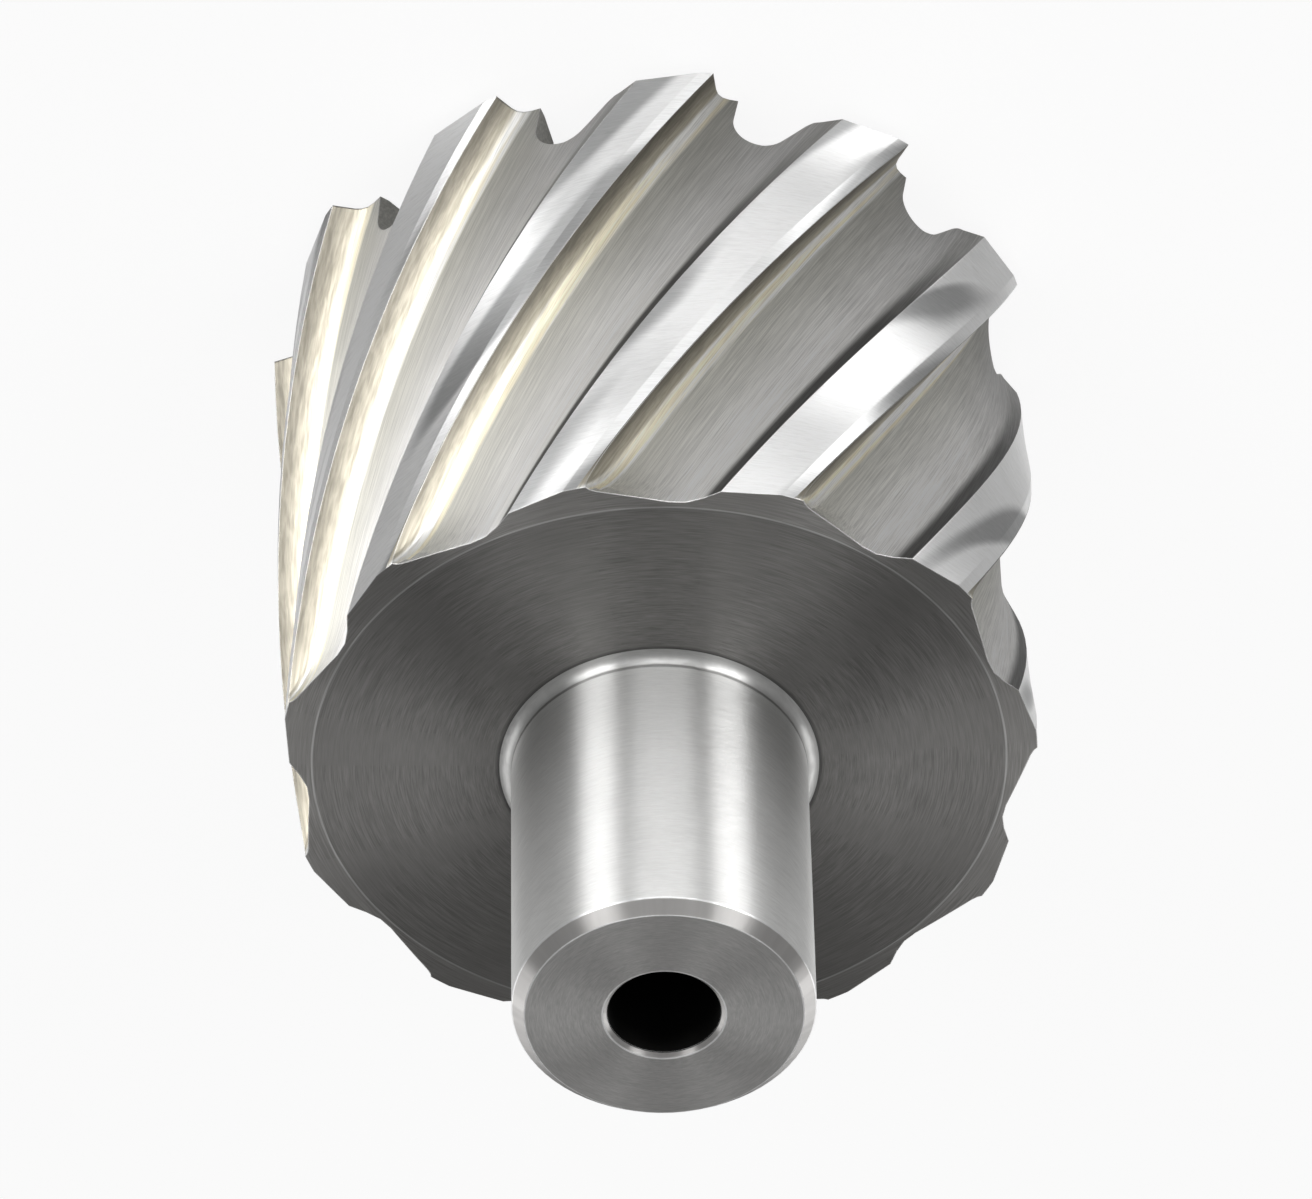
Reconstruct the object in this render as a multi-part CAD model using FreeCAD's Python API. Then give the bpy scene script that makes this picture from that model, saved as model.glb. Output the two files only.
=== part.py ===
import FreeCAD, Part
import math
import os

from FreeCAD import Vector

# One-piece annular cutter of high-speed steel, in millimetres and degrees.
# It stands on its teeth at Z = 0 and its shank points up along +Z.
# Seen from the shank it cuts clockwise, and its flutes are a right-hand helix.

# Cutting size
cut_diameter = 51.0
cut_depth = 25.0
tooth_count = 11
helix_angle = 31.6

# Lengths along the axis
body_length = 40.0
shank_length = 22.5
slug_clearance = 2.0

# Shank for a three-quarter inch bore with two side screws
shank_diameter = 19.05
shank_chamfer = 0.8
shank_root_fillet = 0.75
pilot_bore_diameter = 7.1
pilot_bore_chamfer = 0.3
screw_flat_depth = 1.6
screw_flat_length = 14.0
screw_flat_from_end = 5.0
screw_flat_direction = 90.0
screw_flat_spread = 90.0

# Body: it narrows from the cutting edges to the shoulder, which has a shallow bevel round it
back_taper = 1.2
shoulder_diameter = 44.6
bevel_drop = 0.2

# Wall and hollow
wall_thickness = 5.2
hollow_corner_chamfer = 0.8

# Flute section, measured round the cutting diameter from a leading edge
margin_width = 0.9
land_width = 4.9
land_relief = 0.55
heel_width = 2.2
flute_depth = 2.2
flute_depth_at_shoulder = 1.75
rake_lean = 14.0
root_reach = 0.75
root_flats = 3
foot_reach = 1.1
foot_flats = 2
runout_length = 8.5
runout_power = 5

# Crown: a gullet cut through the web ahead of each inner cutting edge
inner_edge_lead = 2.0
gullet_depth = 4.1
gullet_radius = 1.8
gullet_wall_lean = 10.0
gullet_back_slope = 50.0
gullet_heel_height = 1.5
gullet_heel_radius = 3.5
tooth_relief_angle = 6.0
tooth_ridge_inset = 3.1
outer_bevel_angle = 5.0
inner_bevel_angle = 10.0

# Worked out from the sizes above
cut_radius = cut_diameter / 2
shank_radius = shank_diameter / 2
bore_radius = pilot_bore_diameter / 2
shoulder_radius = shoulder_diameter / 2
inner_radius = cut_radius - wall_thickness
hollow_depth = cut_depth + slug_clearance
total_length = body_length + shank_length
pitch = 360.0 / tooth_count
lead = math.pi * cut_diameter / math.tan(math.radians(helix_angle))
runout_end = body_length
screw_flat_top = total_length - screw_flat_from_end
screw_flat_bottom = screw_flat_top - screw_flat_length
runout_start = runout_end - runout_length

# How far a cutting shape reaches past the surface that it cuts
overshoot = 2.5


def turned(radius, angle, height):
    """Point at a radius, an angle in degrees and a height."""
    a = math.radians(angle)
    return Vector(radius * math.cos(a), radius * math.sin(a), height)


def body_radius(height):
    """Radius of the body, which narrows evenly towards the shoulder."""
    return cut_radius - back_taper * height / body_length


def arc_angle(width):
    """Angle that a width takes up round the cutting diameter."""
    return math.degrees(width / cut_radius)


def twist(height):
    """How far the flutes have turned at a height."""
    return 360.0 * height / lead


def line(a, b):
    return Part.LineSegment(a, b).toShape()


def arc(a, middle, b):
    return Part.Arc(a, middle, b).toShape()


def rounded(before, corner, after, reach, flats):
    """Points along a rounded corner, which starts and ends at the given reach from it."""
    start = corner + (before - corner).normalize() * reach
    end = corner + (after - corner).normalize() * reach
    points = []
    for i in range(flats + 1):
        t = i / flats
        points.append(start * (1 - t) ** 2 + corner * (2 * t * (1 - t)) + end * t ** 2)
    return points


def patterned(shape):
    """One copy of a shape at every tooth."""
    copies = []
    for i in range(tooth_count):
        copy = shape.copy()
        copy.rotate(Vector(0, 0, 0), Vector(0, 0, 1), i * pitch)
        copies.append(copy)
    return copies


def blank():
    """Turned blank: body, shoulder and shank in one revolved profile, with the hollow and the bore.

    The shank's side is parted where the screw flats start and end."""
    below = -overshoot
    fillet_top = body_length + shank_root_fillet
    bend = shank_root_fillet * (1 - math.sqrt(0.5))
    inside = [
        Vector(inner_radius, 0, below),
        Vector(inner_radius, 0, hollow_depth - hollow_corner_chamfer),
        Vector(inner_radius - hollow_corner_chamfer, 0, hollow_depth),
        Vector(bore_radius, 0, hollow_depth),
        Vector(bore_radius, 0, total_length - pilot_bore_chamfer),
        Vector(bore_radius + pilot_bore_chamfer, 0, total_length),
    ]
    outside = [
        Vector(shank_radius - shank_chamfer, 0, total_length),
        Vector(shank_radius, 0, total_length - shank_chamfer),
        Vector(shank_radius, 0, screw_flat_top),
        Vector(shank_radius, 0, screw_flat_bottom),
        Vector(shank_radius, 0, fillet_top),
        Vector(shank_radius + bend, 0, body_length + bend),
        Vector(shank_radius + shank_root_fillet, 0, body_length),
        Vector(shoulder_radius, 0, body_length),
        Vector(body_radius(body_length), 0, body_length - bevel_drop),
        Vector(cut_radius, 0, 0),
        Vector(cut_radius, 0, below),
    ]
    corners = inside + outside[:5]
    edges = [line(a, b) for a, b in zip(corners, corners[1:])]
    edges.append(arc(outside[4], outside[5], outside[6]))
    corners = outside[6:] + inside[:1]
    edges += [line(a, b) for a, b in zip(corners, corners[1:])]
    profile = Part.Face(Part.Wire(edges))
    return profile.revolve(Vector(0, 0, 0), Vector(0, 0, 1), 360)


def floor_depth(height):
    """Depth of the flute at the foot of its heel, a little less towards the shoulder."""
    return flute_depth + (flute_depth_at_shoulder - flute_depth) * height / body_length


def rake_depth(height):
    """Depth of the flute at its rake face: full along the body, then curving out of the surface."""
    t = max(0, (height - runout_start) / runout_length)
    return floor_depth(height) * (1 - t ** runout_power)


def flute_section(height):
    """Outline of what one flute takes away at a height, from the margin round to the next rake face."""
    turn = twist(height)
    surface = body_radius(max(height, 0))
    margin = turned(surface, turn + arc_angle(margin_width), height)
    heel = turned(surface - land_relief, turn + arc_angle(land_width), height)
    foot_angle = arc_angle(land_width + heel_width)
    foot = turned(surface - floor_depth(max(height, 0)), turn + foot_angle, height)
    lean = math.tan(math.radians(rake_lean))
    root_angle = pitch - arc_angle(flute_depth * lean)
    root_radius = surface - rake_depth(height)
    root = turned(root_radius, turn + root_angle, height)
    outward = turned(1, turn + root_angle, 0)
    onward = turned(1, turn + root_angle + 90, 0)
    rise = cut_radius + overshoot - root_radius
    rake_top = root + outward * rise + onward * (rise * lean)
    before_margin = margin + (margin - heel).normalize() * margin_width
    outside = turned(cut_radius + overshoot, turn + arc_angle(margin_width), height)
    points = [before_margin, heel]
    points += rounded(heel, foot, root, foot_reach, foot_flats)
    points += rounded(foot, root, rake_top, root_reach, root_flats)
    points += [rake_top, outside, before_margin]
    return Part.makePolygon(points)


def flute():
    """Helical flute: a loft of sections turned along the helix, closer together where it runs out."""
    low = -overshoot
    full = runout_start - low
    runout = body_length + bevel_drop * 2 - runout_start
    heights = [low + full * i / 8 for i in range(8)]
    heights += [runout_start + runout * i / 8 for i in range(9)]
    return Part.makeLoft([flute_section(h) for h in heights], True, False)


def gullet():
    """U-shaped gullet through the web, along the inner cutting edge, with a rounded slope behind it."""
    lean = math.radians(gullet_wall_lean)
    slope = math.radians(gullet_back_slope)
    relief = math.radians(tooth_relief_angle)
    centre_z = gullet_depth - gullet_radius
    centre_s = (gullet_radius - math.sin(lean) * centre_z) / math.cos(lean)

    def place(s, z):
        return Vector(cut_radius + overshoot, -s, z)

    start = place(overshoot * math.tan(lean), -overshoot)
    wall_end = place(centre_s - gullet_radius * math.cos(lean), centre_z - gullet_radius * math.sin(lean))
    crest = place(centre_s, gullet_depth)
    back_s = centre_s + gullet_radius * math.sin(slope)
    back_z = centre_z + gullet_radius * math.cos(slope)
    back_start = place(back_s, back_z)
    heel_s = back_s + (back_z - gullet_heel_height) / math.tan(slope)
    heel_start = place(heel_s, gullet_heel_height)
    round_s = heel_s + gullet_heel_radius * math.sin(slope)
    round_z = gullet_heel_height + gullet_heel_radius * math.cos(slope)
    half = (slope + relief) / 2
    heel_middle = place(round_s - gullet_heel_radius * math.sin(half), round_z - gullet_heel_radius * math.cos(half))
    end_s = round_s - gullet_heel_radius * math.sin(relief)
    heel_end = place(end_s, round_z - gullet_heel_radius * math.cos(relief))
    below = place(end_s, -overshoot)
    outline = Part.Wire([
        line(start, wall_end),
        arc(wall_end, crest, back_start),
        line(back_start, heel_start),
        arc(heel_start, heel_middle, heel_end),
        line(heel_end, below),
        line(below, start),
    ])
    depth = wall_thickness + 2 * overshoot
    cut = Part.Face(outline).extrude(Vector(-depth, 0, 0))
    cut.rotate(Vector(0, 0, 0), Vector(0, 0, 1), -arc_angle(inner_edge_lead))
    return cut


def tooth_relief():
    """Ground end of one tooth: it rises behind the cutting edge and falls away from a ridge to both sides."""
    ridge = cut_radius - tooth_ridge_inset
    out = cut_radius + overshoot
    into = inner_radius - overshoot
    outer_rise = (out - ridge) * math.tan(math.radians(outer_bevel_angle))
    inner_rise = (ridge - into) * math.tan(math.radians(inner_bevel_angle))
    ahead = gullet_radius / 2
    climb = math.tan(math.radians(tooth_relief_angle))
    start = -ahead * climb
    below = -2 * overshoot
    outline = Part.makePolygon([
        Vector(into, -ahead, below),
        Vector(into, -ahead, start + inner_rise),
        Vector(ridge, -ahead, start),
        Vector(out, -ahead, start + outer_rise),
        Vector(out, -ahead, below),
        Vector(into, -ahead, below),
    ])
    run = math.radians(pitch) * cut_radius - gullet_radius * 2
    cut = Part.Face(outline).extrude(Vector(0, run, run * climb))
    cut.rotate(Vector(0, 0, 0), Vector(0, 0, 1), -arc_angle(inner_edge_lead))
    return cut


def screw_flats():
    """Two flats on the shank for the side screws of the tool holder, a quarter turn apart."""
    flats = []
    for side in (-0.5, 0.5):
        flat = Part.makeBox(
            2 * screw_flat_depth, shank_diameter, screw_flat_length,
            Vector(shank_radius - screw_flat_depth, -shank_radius, screw_flat_bottom))
        flat.rotate(Vector(0, 0, 0), Vector(0, 0, 1), screw_flat_direction + side * screw_flat_spread)
        flats.append(flat)
    return flats


def annular_cutter():
    body = blank()
    body = body.cut(patterned(flute()))
    body = body.cut(patterned(tooth_relief()))
    body = body.cut(patterned(gullet()))
    body = body.cut(screw_flats())
    return body.Solids[0]


os.makedirs("parts", exist_ok=True)
annular_cutter().exportStep("parts/annular_cutter.step")
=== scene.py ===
import math
from types import SimpleNamespace

import bpy
from mathutils import Matrix, Vector

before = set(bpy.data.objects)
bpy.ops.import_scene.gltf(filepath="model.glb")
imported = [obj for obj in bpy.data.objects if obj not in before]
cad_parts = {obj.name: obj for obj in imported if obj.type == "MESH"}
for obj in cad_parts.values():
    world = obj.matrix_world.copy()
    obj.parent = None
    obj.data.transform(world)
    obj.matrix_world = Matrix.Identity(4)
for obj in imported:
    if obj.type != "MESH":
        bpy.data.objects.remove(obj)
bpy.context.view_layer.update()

# Sizes of the cutter, in millimetres and degrees, which the steel's pattern follows
CUT_RADIUS = 25.5
HELIX_ANGLE = 31.6
LEAD = 2 * math.pi * CUT_RADIUS / math.tan(math.radians(HELIX_ANGLE))
TEETH = 11
PITCH = 2 * math.pi * CUT_RADIUS / TEETH
BODY = 40.0
TOTAL = 62.5
BACK_TAPER = 1.2
FLUTE_DEPTH = 2.2
SHOULDER_FLUTE_DEPTH = 1.75
RUNOUT = 8.5
RUNOUT_POWER = 5.0
SHOULDER_RADIUS = 22.3
HOLLOW_RADIUS = 20.3
SHANK_CHAMFER = 0.8
FILLET = 0.75
FILLET_RADIUS = 10.275
FACE_RADIUS = 8.725
BORE_RADIUS = 3.55
BORE_CHAMFER = 0.3

# Distance round the cutting diameter from a leading edge: end of the land, foot of the heel, root
LAND = 4.9
FOOT = 7.1
ROOT = 14.02

# Greys of the steel: level, and its red and blue as shares of that level
# Painted shade and painted glare: the dark and the bright grey of the lands, switched by the painted
# reflection streaks
LAND_PAINTED_SHADE = (0.44, 0.995, 1.0)
LAND_PAINTED_GLARE = (0.97, 1.0, 0.995)
# Painted shade: a dark band along the foot of each heel
HEEL_PAINTED_SHADE = (0.07, 1.02, 0.97)
DISC = (0.27, 1.02, 0.97)
RING = (0.315, 1.02, 0.97)
# Painted highlight along the shoulder's outer edge
SHOULDER_EDGE_HIGHLIGHT = (0.80, 1.0, 1.0)
# Painted shade on the disc round the foot of the shank
FOOT_PAINTED_SHADE = (0.06, 1.0, 1.0)
FILLET_FACE = (0.54, 1.0, 0.985)
# Painted shade where the fillet meets the shank
FILLET_EDGE_SHADE = (0.16, 1.02, 0.97)
END_FACE = (0.56, 1.01, 0.985)
CHAMFER = (0.50, 1.02, 0.98)
# Painted highlights on the rims of the shank's chamfers and the bore's mouth
RIM_HIGHLIGHT = (0.97, 1.0, 1.0)
HOLLOW = (0.36, 1.02, 0.96)
# Painted shade: near black inside the bore
BORE_PAINTED_SHADE = (0.012, 1.02, 0.96)
CROWN = (0.62, 1.01, 0.97)
# Painted highlight along the edges
PAINTED_EDGE_HIGHLIGHT = (0.93, 1.0, 1.0)

# Colours of the rake wall, near its root and above it, and of the painted highlight along the root, white
# with straw streaks
WALL_LOW = (0.50, 0.465, 0.385, 1.0)
WALL_HIGH = (0.20, 0.186, 0.155, 1.0)
ROOT_HIGHLIGHT_WHITE = (1.0, 0.995, 0.975, 1.0)
ROOT_HIGHLIGHT_STRAW = (1.0, 0.93, 0.74, 1.0)

# The photograph's frame
IMAGE_WIDTH = 1312
VIEW_AZIMUTH = 2.58
VIEW_ELEVATION = 47.55
VIEW_ROLL = 178.86
VIEW_DISTANCE = 0.5559
VIEW_TARGET = 0.02414
FOCAL_PIXELS = 8474.8

# Lamps: name, azimuth, elevation, distance, width, height and power
LAMPS = [
    ("front_left", 43, 8, 0.50, 0.21, 0.20, 1.28),
    ("front_right", -44, 8, 0.50, 0.21, 0.20, 1.26),
    ("front_middle", 0, 5, 0.50, 0.38, 0.14, 1.14),
    ("strip_left", 26, 42, 0.60, 0.04, 0.30, 0.020),
    ("strip_right", -24, 42, 0.60, 0.055, 0.30, 0.024),
    ("rim_left", 136, 16, 0.55, 0.50, 0.30, 0.74),
    ("rim_right", -136, 16, 0.55, 0.50, 0.30, 0.84),
]


class Graph:
    """Short calls that build a node tree. A value is a number, a vector or another node's socket."""

    def __init__(self, tree):
        self.tree = tree
        tree.nodes.clear()

    def add(self, kind, **settings):
        node = self.tree.nodes.new(kind)
        for name, value in settings.items():
            setattr(node, name, value)
        return node

    def put(self, socket, value):
        if isinstance(value, bpy.types.NodeSocket):
            self.tree.links.new(value, socket)
        else:
            socket.default_value = value

    def fill(self, node, values):
        """Gives the first inputs of a node their values."""
        for socket, value in zip(node.inputs, values):
            self.put(socket, value)
        return node

    def math(self, operation, *values):
        return self.fill(self.add("ShaderNodeMath", operation=operation), values).outputs[0]

    def times(self, a, b):
        return self.math("MULTIPLY", a, b)

    def plus(self, a, b):
        return self.math("ADD", a, b)

    def minus(self, a, b):
        return self.math("SUBTRACT", a, b)

    def most(self, a, b):
        return self.math("MAXIMUM", a, b)

    def vector_math(self, operation, *values):
        node = self.add("ShaderNodeVectorMath", operation=operation)
        return self.fill(node, values).outputs[0]

    def measure(self, operation, *values):
        """Vector operation whose result is a number."""
        node = self.add("ShaderNodeVectorMath", operation=operation)
        return self.fill(node, values).outputs["Value"]

    def scale(self, vector, factor):
        node = self.add("ShaderNodeVectorMath", operation="SCALE")
        self.put(node.inputs[0], vector)
        self.put(node.inputs["Scale"], factor)
        return node.outputs[0]

    def vector(self, x, y, z):
        return self.fill(self.add("ShaderNodeCombineXYZ"), (x, y, z)).outputs[0]

    def split(self, vector):
        return self.fill(self.add("ShaderNodeSeparateXYZ"), (vector,)).outputs

    def step(self, value, low, high, out_low=0.0, out_high=1.0):
        """Smooth change from out_low below low to out_high above high."""
        node = self.add("ShaderNodeMapRange", interpolation_type="SMOOTHSTEP")
        return self.fill(node, (value, low, high, out_low, out_high)).outputs[0]

    def below(self, value, low, high):
        """1 below low and 0 above high."""
        return self.step(value, low, high, 1.0, 0.0)

    def band(self, value, low, high, soft):
        """1 between low and high, with soft ends."""
        rise = self.step(value, low - soft / 2, low + soft / 2)
        fall = self.below(value, high - soft / 2, high + soft / 2)
        return self.times(rise, fall)

    def blend(self, kind, sockets, output, values, **settings):
        """Mix node of one data type, whose sockets are told apart by their numbers."""
        node = self.add("ShaderNodeMix", data_type=kind, **settings)
        for number, value in zip(sockets, values):
            self.put(node.inputs[number], value)
        return node.outputs[output]

    def mix(self, factor, a, b):
        return self.blend("FLOAT", (0, 2, 3), 0, (factor, a, b))

    def mix_vector(self, factor, a, b):
        return self.blend("VECTOR", (0, 4, 5), 1, (factor, a, b))

    def mix_colour(self, factor, a, b, way="MIX"):
        return self.blend("RGBA", (0, 6, 7), 2, (factor, a, b), blend_type=way)

    def noise(self, vector, scale, detail, roughness):
        node = self.add("ShaderNodeTexNoise")
        self.put(node.inputs["Vector"], vector)
        node.inputs["Scale"].default_value = scale
        node.inputs["Detail"].default_value = detail
        node.inputs["Roughness"].default_value = roughness
        return node.outputs[0]


def grey(level, red=1.0, blue=1.0):
    return (level * red, level, level * blue, 1.0)


def surface_place(g):
    """Where a point is on the cutter: in millimetres, round the axis and across a flute."""
    at = SimpleNamespace()
    millimetres = (1000.0,) * 3
    at.place = g.vector_math("MULTIPLY", g.add("ShaderNodeTexCoord").outputs["Object"], millimetres)
    x, y, at.z = g.split(at.place)
    flat = g.vector(x, y, 0.0)
    at.radius = g.measure("LENGTH", flat)
    at.angle = g.math("ARCTAN2", y, x)
    turned = g.times(at.z, 2 * math.pi * CUT_RADIUS / LEAD)
    around = g.minus(g.times(at.angle, CUT_RADIUS), turned)
    at.s = g.math("FLOORED_MODULO", around, PITCH)
    outward = g.vector_math("NORMALIZE", flat)
    at.across = g.vector_math("CROSS_PRODUCT", (0.0, 0.0, 1.0), outward)
    at.out_x, at.out_y, _ = g.split(outward)
    at.normal = g.add("ShaderNodeNewGeometry").outputs["Normal"]
    _, _, at.normal_z = g.split(at.normal)
    at.above_root = height_above_root(g, at)
    return at


def height_above_root(g, at):
    """How far a point lies out from the flute's root, which curves out of the surface at the shoulder."""
    surface = g.minus(CUT_RADIUS, g.times(at.z, BACK_TAPER / BODY))
    depth = g.minus(surface, at.radius)
    shallower = g.times(at.z, (FLUTE_DEPTH - SHOULDER_FLUTE_DEPTH) / BODY)
    full_depth = g.minus(FLUTE_DEPTH, shallower)
    out_way = g.most(0.0, g.math("DIVIDE", g.minus(at.z, BODY - RUNOUT), RUNOUT))
    root_depth = g.times(full_depth, g.minus(1.0, g.math("POWER", out_way, RUNOUT_POWER)))
    return g.minus(root_depth, depth)


def turned_regions(g, at, part):
    """Shank, shoulder, bore and hollow."""
    z, radius = at.z, at.radius
    over_shoulder = g.step(z, BODY - 0.1, BODY - 0.05)
    part.shank = g.times(over_shoulder, g.below(radius, FILLET_RADIUS - 0.02, FILLET_RADIUS))
    part.fillet = g.times(part.shank, g.below(z, BODY + FILLET - 0.05, BODY + FILLET))
    part.end_face = g.times(part.shank, g.step(z, TOTAL - 0.05, TOTAL - 0.02))
    part.chamfer = g.times(part.shank, g.band(z, TOTAL - SHANK_CHAMFER, TOTAL - 0.03, 0.02))
    faces_up = g.step(at.normal_z, 0.6, 0.7)
    top = g.times(g.step(z, BODY - 0.5, BODY - 0.45), faces_up)
    part.disc = g.times(top, g.minus(1.0, part.shank))
    part.ring = g.times(part.disc, g.step(radius, SHOULDER_RADIUS - 0.02, SHOULDER_RADIUS + 0.02))
    within = g.below(radius, HOLLOW_RADIUS + 0.03, HOLLOW_RADIUS + 0.06)
    part.inside = g.times(within, g.below(z, BODY - 0.1, BODY - 0.05))
    part.bore = g.below(radius, BORE_RADIUS + 0.02, BORE_RADIUS + 0.05)
    part.turned = g.most(g.most(part.shank, part.disc), part.inside)


def flute_regions(g, at, part):
    """Land, heel, root and rake wall of the flutes, and the ends of the teeth."""
    s = at.s
    part.crown = g.below(at.normal_z, -0.35, -0.3)
    part.land = g.below(s, LAND - 0.02, LAND + 0.02)
    on_wall = g.step(s, ROOT - 0.35, ROOT - 0.05)
    part.wall = g.times(on_wall, g.step(at.above_root, 0.25, 0.6))
    near_root = g.band(s, ROOT - 0.85, ROOT + 0.15, 0.4)
    part.root = g.times(near_root, g.minus(1.0, part.wall))
    past_land = g.step(s, LAND - 0.02, LAND + 0.02)
    part.heel = g.times(past_land, g.below(s, LAND + 0.55, LAND + 1.3))


def tool_marks(g, at, part):
    """Fine marks along the flutes, across the lands and round the axis, with softer clouds, and the broad
    streaks of the lands' painted reflections.
    """
    z, s, radius = at.z, at.s, at.radius
    drift = g.plus(s, g.times(z, 0.06))
    flute_grain = g.vector(g.times(drift, 13.0), g.times(radius, 5.0), g.times(z, 0.28))
    rings = g.plus(g.times(radius, 13.0), g.times(z, 13.0))
    round_grain = g.vector(rings, g.times(at.out_x, 9.0), g.times(at.out_y, 9.0))
    land_grain = g.vector(g.times(z, 13.0), g.times(s, 0.9), g.times(radius, 4.0))
    side_grain = g.mix_vector(part.land, flute_grain, land_grain)
    grain_place = g.mix_vector(part.turned, side_grain, round_grain)
    marks = SimpleNamespace()
    marks.grain = g.noise(grain_place, 1.0, 2.0, 0.6)
    marks.coarse = g.noise(grain_place, 0.30, 2.0, 0.55)
    marks.cloud = g.noise(at.place, 0.16, 3.0, 0.55)
    along_flute = g.vector(g.times(s, 1.6), at.angle, g.times(z, 0.05))
    marks.long_cloud = g.noise(along_flute, 1.0, 1.0, 0.5)
    marks.glare = painted_land_reflections(g, at)
    return marks


def painted_land_reflections(g, at):
    """Painted reflections on the lands: broad soft streaks that cross them from heel to margin, painted
    brighter towards the shoulder.
    """
    bands = g.minus(g.times(at.s, 0.22), g.times(at.z, 0.055))
    change = g.plus(3.1, g.times(at.z, 0.03))
    glare = g.noise(g.vector(bands, g.times(at.angle, 1.3), change), 1.0, 0.6, 0.5)
    return g.plus(glare, g.step(at.z, 22.0, 36.0, 0.0, 0.10))


def flute_colour(g, at, part, marks):
    """Colour of the flutes: floor with painted shade towards the root and the teeth, land with painted
    reflections, painted shade under the heel, rake wall and a painted highlight strip along the root.
    """
    z, s = at.z, at.s
    # Painted shade: the flute floors darken towards the root and towards the teeth
    towards_root = g.step(s, FOOT - 0.5, ROOT - 0.6)
    towards_shoulder = g.step(z, 0.0, 26.0, 0.66, 1.035)
    level = g.times(g.mix(towards_root, 0.965, 0.70), towards_shoulder)
    blue = g.times(level, g.mix(towards_root, 0.975, 0.925))
    colour = g.vector(level, g.times(level, 0.988), blue)
    # Painted reflection: the lands change from the painted-shade grey to the painted-glare grey along the
    # streaks
    lit = g.step(marks.glare, 0.40, 0.54)
    colour = g.mix_colour(part.land, colour, g.mix_colour(lit, grey(*LAND_PAINTED_SHADE), grey(*LAND_PAINTED_GLARE)))
    # Painted shade under the heel, weaker towards the teeth
    heel_shade = g.times(part.heel, g.step(z, 2.0, 20.0, 0.65, 0.95))
    colour = g.mix_colour(heel_shade, colour, grey(*HEEL_PAINTED_SHADE))
    up_wall = g.step(at.above_root, 0.4, 1.9)
    colour = g.mix_colour(part.wall, colour, g.mix_colour(up_wall, WALL_LOW, WALL_HIGH))
    straw = g.step(marks.long_cloud, 0.42, 0.60)
    # Painted highlight: the pale strip along the root, weaker towards the teeth
    strip = g.times(part.root, g.step(z, 0.0, 16.0, 0.7, 1.0))
    return g.mix_colour(strip, colour, g.mix_colour(straw, ROOT_HIGHLIGHT_WHITE, ROOT_HIGHLIGHT_STRAW))


def turned_colour(g, at, part, colour):
    """Adds the colours of the shoulder, the shank, the hollow and the bore, with painted highlights on the
    shank's rims and the shoulder's edge, and painted shade round the foot of the shank, at the fillet's
    top and in the bore.
    """
    z, radius = at.z, at.radius
    colour = g.mix_colour(part.disc, colour, grey(*DISC))
    colour = g.mix_colour(part.ring, colour, grey(*RING))
    shoulder_edge = g.band(radius, SHOULDER_RADIUS - 0.06, SHOULDER_RADIUS + 0.06, 0.06)
    shoulder_highlight = g.times(g.times(part.disc, shoulder_edge), 0.4)
    colour = g.mix_colour(shoulder_highlight, colour, grey(*SHOULDER_EDGE_HIGHLIGHT))
    # Painted highlight: a pale line along the shoulder's outer edge is mixed in just above
    foot_shade = g.times(part.disc, g.step(radius, FILLET_RADIUS + 0.05, FILLET_RADIUS + 0.35, 0.6, 0.0))
    # Painted shade in the corner where the shank meets the disc
    colour = g.mix_colour(foot_shade, colour, grey(*FOOT_PAINTED_SHADE))
    # Painted shade: the shank darker near the shoulder, where it mirrors the dark disc
    level = g.step(z, BODY, BODY + 13.0, 0.72, 0.91)
    colour = g.mix_colour(part.shank, colour, g.vector(level, level, g.times(level, 0.985)))
    colour = g.mix_colour(part.fillet, colour, grey(*FILLET_FACE))
    # Painted shade: a dark band where the fillet meets the shank
    fillet_shade = g.times(part.shank, g.band(z, BODY + 0.62, BODY + 0.86, 0.14))
    colour = g.mix_colour(g.times(fillet_shade, 0.75), colour, grey(*FILLET_EDGE_SHADE))
    colour = g.mix_colour(part.end_face, colour, grey(*END_FACE))
    colour = g.mix_colour(part.chamfer, colour, grey(*CHAMFER))
    # Painted highlights: pale lines round the end face, the mouth of the bore and the top of the shank's
    # side
    face_rim = g.times(part.end_face, g.step(radius, FACE_RADIUS - 0.085, FACE_RADIUS - 0.035))
    mouth = BORE_RADIUS + BORE_CHAMFER
    bore_rim = g.times(part.end_face, g.below(radius, mouth + 0.05, mouth + 0.10))
    side = TOTAL - SHANK_CHAMFER
    side_rim = g.times(part.shank, g.band(z, side - 0.08, side + 0.06, 0.05))
    rim_highlights = g.most(g.most(face_rim, bore_rim), side_rim)
    colour = g.mix_colour(g.times(rim_highlights, 0.8), colour, grey(*RIM_HIGHLIGHT))
    colour = g.mix_colour(part.inside, colour, grey(*HOLLOW))
    # Painted shade inside the bore
    return g.mix_colour(part.bore, colour, grey(*BORE_PAINTED_SHADE))


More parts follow.
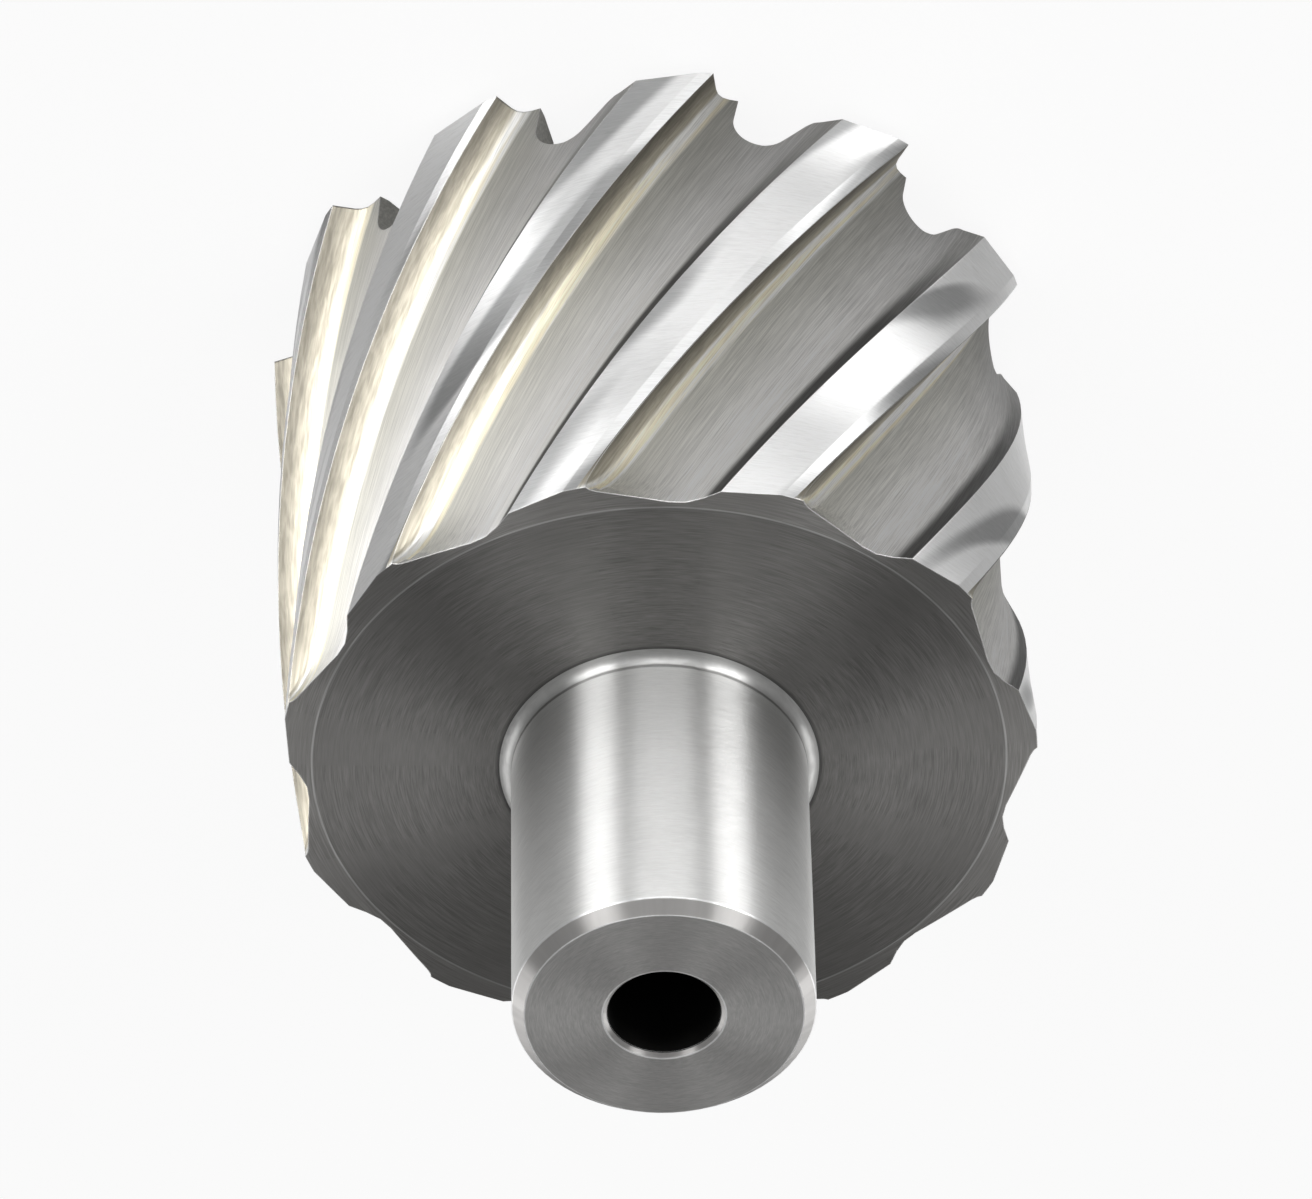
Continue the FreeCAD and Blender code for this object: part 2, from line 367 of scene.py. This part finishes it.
def steel_colour(g, at, part, marks, rounded):
    colour = flute_colour(g, at, part, marks)
    colour = turned_colour(g, at, part, colour)
    colour = g.mix_colour(part.crown, colour, grey(*CROWN))
    strength = g.mix(part.end_face, g.mix(part.shank, g.mix(part.land, 1.0, 0.45), 0.45), 0.6)
    fine = g.step(marks.grain, 0.25, 0.75, -0.16, 0.13)
    broad = g.step(marks.coarse, 0.3, 0.7, -0.05, 0.05)
    shade = g.plus(1.0, g.times(g.plus(fine, broad), strength))
    shade = g.times(shade, g.step(marks.cloud, 0.3, 0.7, 0.96, 1.03))
    colour = g.mix_colour(1.0, colour, g.vector(shade, shade, shade), "MULTIPLY")

    # Painted highlight along the edges, where the rounded normal leaves the flat one
    agree = g.measure("DOT_PRODUCT", rounded, at.normal)
    edge_highlight = g.below(agree, 0.90, 0.995)
    return g.mix_colour(g.times(edge_highlight, 0.55), colour, grey(*PAINTED_EDGE_HIGHLIGHT))


def steel_roughness(g, part, marks):
    rough = g.mix(part.land, 0.49, 0.43)
    rough = g.mix(part.root, rough, 0.50)
    rough = g.mix(part.wall, rough, 0.48)
    rough = g.mix(part.turned, rough, 0.56)
    rough = g.mix(part.shank, rough, 0.36)
    rough = g.mix(part.fillet, rough, 0.42)
    rough = g.mix(part.end_face, rough, 0.85)
    rough = g.mix(part.bore, rough, 0.9)
    return g.plus(rough, g.step(marks.grain, 0.25, 0.75, 0.04, -0.04))


def highlight_direction(g, at, part):
    """Tangent square to the marks, which run round the axis or along the helix."""
    slant = g.times(at.radius, 2 * math.pi / LEAD)
    helix = g.vector_math("ADD", g.scale(at.across, slant), (0.0, 0.0, 1.0))
    run = g.mix_vector(g.most(part.turned, part.land), helix, at.across)
    return g.vector_math("CROSS_PRODUCT", at.normal, g.vector_math("NORMALIZE", run))


def relief(g, marks, rounded):
    """Slight bumps of the marks over the rounded edges."""
    bump = g.add("ShaderNodeBump")
    bump.inputs["Strength"].default_value = 0.5
    bump.inputs["Distance"].default_value = 0.000006
    g.put(bump.inputs["Height"], g.plus(marks.grain, g.times(marks.coarse, 0.6)))
    g.put(bump.inputs["Normal"], rounded)
    return bump.outputs[0]


def steel_material():
    """Bare high-speed steel: ground, milled and turned surfaces, told apart by where they are."""
    material = bpy.data.materials.new("ground_steel")
    material.use_nodes = True
    g = Graph(material.node_tree)
    at = surface_place(g)
    part = SimpleNamespace()
    turned_regions(g, at, part)
    flute_regions(g, at, part)
    marks = tool_marks(g, at, part)
    rounding = g.add("ShaderNodeBevel", samples=6)
    rounding.inputs["Radius"].default_value = 0.00012
    rounded = rounding.outputs[0]
    shader = g.add("ShaderNodeBsdfPrincipled")
    shader.inputs["Metallic"].default_value = 1.0
    shader.inputs["Anisotropic"].default_value = 0.9
    g.put(shader.inputs["Base Color"], steel_colour(g, at, part, marks, rounded))
    g.put(shader.inputs["Roughness"], steel_roughness(g, part, marks))
    g.put(shader.inputs["Normal"], relief(g, marks, rounded))
    g.put(shader.inputs["Tangent"], highlight_direction(g, at, part))
    output = g.add("ShaderNodeOutputMaterial")
    g.put(output.inputs["Surface"], shader.outputs[0])
    return material


def floor_material():
    """Pale floor that the camera and the metal see as white paper, and that keeps a soft shadow."""
    material = bpy.data.materials.new("pale_floor")
    material.use_nodes = True
    g = Graph(material.node_tree)
    rays = g.add("ShaderNodeLightPath")
    mirrored = g.most(rays.outputs["Is Glossy Ray"], rays.outputs["Is Transmission Ray"])
    camera = rays.outputs["Is Camera Ray"]
    seen = g.most(g.times(camera, 0.90), g.times(mirrored, 0.16))
    paper = g.add("ShaderNodeBsdfDiffuse")
    g.put(paper.inputs["Color"], g.mix_colour(camera, grey(0.45), grey(0.95)))
    white = g.add("ShaderNodeEmission")
    white.inputs["Color"].default_value = grey(1.0)
    white.inputs["Strength"].default_value = 1.0
    both = g.fill(g.add("ShaderNodeMixShader"), (seen, paper.outputs[0], white.outputs[0]))
    output = g.add("ShaderNodeOutputMaterial")
    g.put(output.inputs["Surface"], both.outputs[0])
    return material


def add_floor():
    """Wide square just under the cutter's teeth."""
    mesh = bpy.data.meshes.new("floor")
    half = 3.0
    corners = [(-half, -half, 0), (half, -half, 0), (half, half, 0), (-half, half, 0)]
    mesh.from_pydata(corners, [], [(0, 1, 2, 3)])
    floor = bpy.data.objects.new("floor", mesh)
    bpy.context.collection.objects.link(floor)
    floor.location.z = -0.00002
    mesh.materials.append(floor_material())


def away_from_cutter(azimuth, elevation):
    """Direction from the cutter at two angles in degrees. Azimuth 0 is on the camera's side."""
    a, e = math.radians(azimuth), math.radians(elevation)
    return Vector((math.sin(a) * math.cos(e), -math.cos(a) * math.cos(e), math.sin(e)))


def softbox(name, azimuth, elevation, distance, width, height, power):
    """Area lamp aimed at the cutter."""
    away = away_from_cutter(azimuth, elevation)
    light = bpy.data.lights.new(name, "AREA")
    light.shape = "RECTANGLE"
    light.size = width
    light.size_y = height
    light.energy = power
    lamp = bpy.data.objects.new(name, light)
    bpy.context.collection.objects.link(lamp)
    lamp.location = Vector((0, 0, 0.03)) + away * distance
    lamp.rotation_mode = "QUATERNION"
    lamp.rotation_quaternion = away.to_track_quat("Z", "Y")


def add_world():
    """White surroundings, dim ahead and behind and brighter at both sides."""
    world = bpy.data.worlds.new("studio")
    world.use_nodes = True
    g = Graph(world.node_tree)
    sky = g.add("ShaderNodeBackground")
    sky.inputs["Color"].default_value = grey(1.0)
    direction = g.split(g.add("ShaderNodeTexCoord").outputs["Generated"])
    sideways = g.math("ABSOLUTE", direction[0])
    g.put(sky.inputs["Strength"], g.step(sideways, 0.0, 0.55, 0.11, 0.36))
    output = g.add("ShaderNodeOutputWorld")
    g.put(output.inputs["Surface"], sky.outputs[0])
    bpy.context.scene.world = world


def add_camera():
    """Camera of the photograph: it looks down along the shank with its own top towards the teeth."""
    back = away_from_cutter(VIEW_AZIMUTH, VIEW_ELEVATION)
    a, roll = math.radians(VIEW_AZIMUTH), math.radians(VIEW_ROLL)
    right = Vector((math.cos(a), math.sin(a), 0))
    up = right.cross(-back)
    turned_right = right * math.cos(roll) + up * math.sin(roll)
    turned_up = up * math.cos(roll) - right * math.sin(roll)
    data = bpy.data.cameras.new("camera")
    data.sensor_width = 36.0
    data.lens = FOCAL_PIXELS / IMAGE_WIDTH * data.sensor_width
    data.clip_start = 0.01
    camera = bpy.data.objects.new("camera", data)
    bpy.context.collection.objects.link(camera)
    matrix = Matrix((turned_right, turned_up, back)).transposed().to_4x4()
    matrix.translation = Vector((0, 0, VIEW_TARGET)) + back * VIEW_DISTANCE
    camera.matrix_world = matrix
    bpy.context.scene.camera = camera


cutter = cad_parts["annular_cutter"]
steel = steel_material()
for material_slot in cutter.material_slots:
    material_slot.material = steel

add_floor()
add_world()
for lamp_settings in LAMPS:
    softbox(*lamp_settings)
add_camera()
bpy.context.scene.view_settings.view_transform = "Standard"
